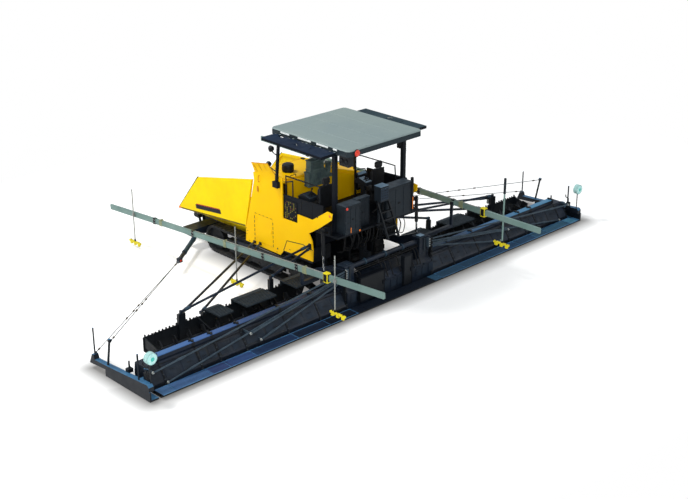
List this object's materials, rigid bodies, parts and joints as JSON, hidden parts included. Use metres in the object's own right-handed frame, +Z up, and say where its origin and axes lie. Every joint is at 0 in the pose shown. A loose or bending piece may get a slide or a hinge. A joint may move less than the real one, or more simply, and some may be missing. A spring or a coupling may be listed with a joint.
{
  "type": "tracked asphalt paver with wide screed",
  "caption": "Tracked asphalt paver with folding hopper wings, operator canopy, augers, a wide bolt-on screed and long levelling beams",
  "frame": {"origin": "on the ground, midway between the screed's end gates and midway along the levelling beams", "axes": "+X to the machine's right, along the screed; +Y forward, towards the hopper; +Z up"},
  "size_m": [15.06, 10.5051, 3.95],
  "materials": {
    "body_paint": "satin",
    "hopper_paint": "satin",
    "black_paint": "satin",
    "grey_paint": "satin",
    "screed_paint": "satin",
    "blue_plate": "matte",
    "roof_paint": "matte",
    "flap_paint": "satin",
    "track_steel": "matte",
    "wear_steel": "brushed",
    "cylinder_rod": "polished",
    "aluminium_profile": "satin",
    "sensor_plastic": "matte",
    "seat_vinyl": "matte",
    "console_plastic": "matte",
    "duct_paint": "matte",
    "lamp_glass": "gloss",
    "cast_iron": "rough"
  },
  "bodies": {
    "tractor": {"chassis": "black_paint", "track_left": "track_steel", "track_right": "track_steel", "track_frames": "black_paint", "conveyors": "wear_steel", "hopper_back": "body_paint", "side_panels": "body_paint", "engine_wall": "body_paint", "engine": "cast_iron", "exhaust_duct": "duct_paint", "platform": "black_paint", "handrails": "black_paint", "seats": "seat_vinyl", "consoles": "console_plastic", "rear_cabinets": "grey_paint", "canopy_posts": "black_paint", "canopy_roof": "roof_paint", "auger_frame": "screed_paint", "auger_gratings": "screed_paint", "auger_struts": "grey_paint", "outriggers": "screed_paint"},
    "screed": {"sole_plates": "wear_steel", "screed_frame": "screed_paint", "extension_boxes": "screed_paint", "top_chords": "blue_plate", "walkways": "blue_plate", "tie_rods": "wear_steel", "tow_arms": "screed_paint", "end_gates": "screed_paint", "end_lamps": "lamp_glass", "stay_wires": "wear_steel", "screed_controls": "black_paint"},
    "hood": {"hood": "body_paint"},
    "push_beam": {"push_beam": "black_paint"},
    "side_door_left": {"side_door_left": "body_paint"},
    "hopper_wing_left": {"hopper_wing_left": "hopper_paint"},
    "push_roller_left": {"push_roller_left": "wear_steel"},
    "canopy_flap_left": {"canopy_flap_left": "flap_paint"},
    "auger_left": {"auger_left": "wear_steel"},
    "lift_barrel_left": {"lift_barrel_left": "black_paint"},
    "lift_rod_left": {"lift_rod_left": "cylinder_rod"},
    "beam_left": {"levelling_beam_left": "aluminium_profile", "sensor_masts_left": "sensor_plastic"},
    "side_door_right": {"side_door_right": "body_paint"},
    "hopper_wing_right": {"hopper_wing_right": "hopper_paint"},
    "push_roller_right": {"push_roller_right": "wear_steel"},
    "canopy_flap_right": {"canopy_flap_right": "flap_paint"},
    "auger_right": {"auger_right": "wear_steel"},
    "lift_barrel_right": {"lift_barrel_right": "black_paint"},
    "lift_rod_right": {"lift_rod_right": "cylinder_rod"},
    "beam_right": {"levelling_beam_right": "aluminium_profile", "sensor_masts_right": "sensor_plastic"}
  },
  "joints": [
    {"name": "hood_hinge", "type": "hinge", "parent": "tractor", "child": "hood", "pos_m": [-0.6, 0.511, 2.74], "axis": [-1, 0, 0], "range_deg": [0, 50]},
    {"name": "screed_lift", "type": "hinge", "parent": "tractor", "child": "screed", "pos_m": [0, 1.225, 0.6], "axis": [-1, 0, 0], "range_deg": [0, 5]},
    {"name": "push_beam_swing", "type": "hinge", "parent": "tractor", "child": "push_beam", "pos_m": [0, 3.665, 0.53], "axis": [0, 0, 1], "range_deg": [-8, 8]},
    {"name": "side_door_left_hinge", "type": "hinge", "parent": "tractor", "child": "side_door_left", "pos_m": [-1.5, 0.557, 1.255], "axis": [0, 0, -1], "range_deg": [0, 100]},
    {"name": "hopper_wing_left_fold", "type": "hinge", "parent": "tractor", "child": "hopper_wing_left", "pos_m": [-0.862, 2.175, 0.624], "axis": [0, 1, 0], "range_deg": [0, 40]},
    {"name": "push_roller_left_spin", "type": "hinge", "parent": "push_beam", "child": "push_roller_left", "pos_m": [-0.4425, 3.905, 0.5], "axis": [1, 0, 0], "continuous": true},
    {"name": "canopy_flap_left_fold", "type": "hinge", "parent": "tractor", "child": "canopy_flap_left", "pos_m": [-1.335, -1.2, 3.83], "axis": [0, 1, 0], "range_deg": [0, 90]},
    {"name": "auger_left_spin", "type": "hinge", "parent": "tractor", "child": "auger_left", "pos_m": [-3.2, -1.925, 0.36], "axis": [1, 0, 0], "continuous": true},
    {"name": "beam_left_level", "type": "hinge", "parent": "screed", "child": "beam_left", "pos_m": [-2.68, -2.465, 1.418], "axis": [-1, 0, 0], "range_deg": [-5.2, 0.2]},
    {"name": "lift_barrel_left_swing", "type": "hinge", "parent": "tractor", "child": "lift_barrel_left", "pos_m": [-1.64, -2.125, 1.95], "axis": [1, 0, 0], "range_deg": [-0.1, 2.6]},
    {"name": "lift_rod_left_slide", "type": "slide", "parent": "lift_barrel_left", "child": "lift_rod_left", "axis": [0, 0.028, 0.9996], "range_m": [-0.005, 0.31]},
    {"name": "side_door_right_hinge", "type": "hinge", "parent": "tractor", "child": "side_door_right", "pos_m": [1.5, 0.557, 1.255], "axis": [0, 0, 1], "range_deg": [0, 100]},
    {"name": "hopper_wing_right_fold", "type": "hinge", "parent": "tractor", "child": "hopper_wing_right", "pos_m": [0.862, 2.175, 0.624], "axis": [0, -1, 0], "range_deg": [0, 40]},
    {"name": "push_roller_right_spin", "type": "hinge", "parent": "push_beam", "child": "push_roller_right", "pos_m": [0.4425, 3.905, 0.5], "axis": [1, 0, 0], "continuous": true},
    {"name": "canopy_flap_right_fold", "type": "hinge", "parent": "tractor", "child": "canopy_flap_right", "pos_m": [1.335, -1.2, 3.83], "axis": [0, -1, 0], "range_deg": [0, 90]},
    {"name": "auger_right_spin", "type": "hinge", "parent": "tractor", "child": "auger_right", "pos_m": [3.2, -1.925, 0.36], "axis": [1, 0, 0], "continuous": true},
    {"name": "beam_right_level", "type": "hinge", "parent": "screed", "child": "beam_right", "pos_m": [2.68, -2.465, 1.62], "axis": [-1, 0, 0], "range_deg": [-5.2, 0.2]},
    {"name": "lift_barrel_right_swing", "type": "hinge", "parent": "tractor", "child": "lift_barrel_right", "pos_m": [1.64, -2.125, 1.95], "axis": [1, 0, 0], "range_deg": [-0.1, 2.6]},
    {"name": "lift_rod_right_slide", "type": "slide", "parent": "lift_barrel_right", "child": "lift_rod_right", "axis": [0, 0.028, 0.9996], "range_m": [-0.005, 0.31]}
  ],
  "couplings": [
    {"joint": "beam_left_level", "follows": "screed_lift", "ratio": -1},
    {"joint": "lift_barrel_left_swing", "follows": "screed_lift", "ratio": 0.4284},
    {"joint": "lift_rod_left_slide", "follows": "screed_lift", "m_per_rad": 3.3679},
    {"joint": "beam_right_level", "follows": "screed_lift", "ratio": -1},
    {"joint": "lift_barrel_right_swing", "follows": "screed_lift", "ratio": 0.4284},
    {"joint": "lift_rod_right_slide", "follows": "screed_lift", "m_per_rad": 3.3679}
  ]
}
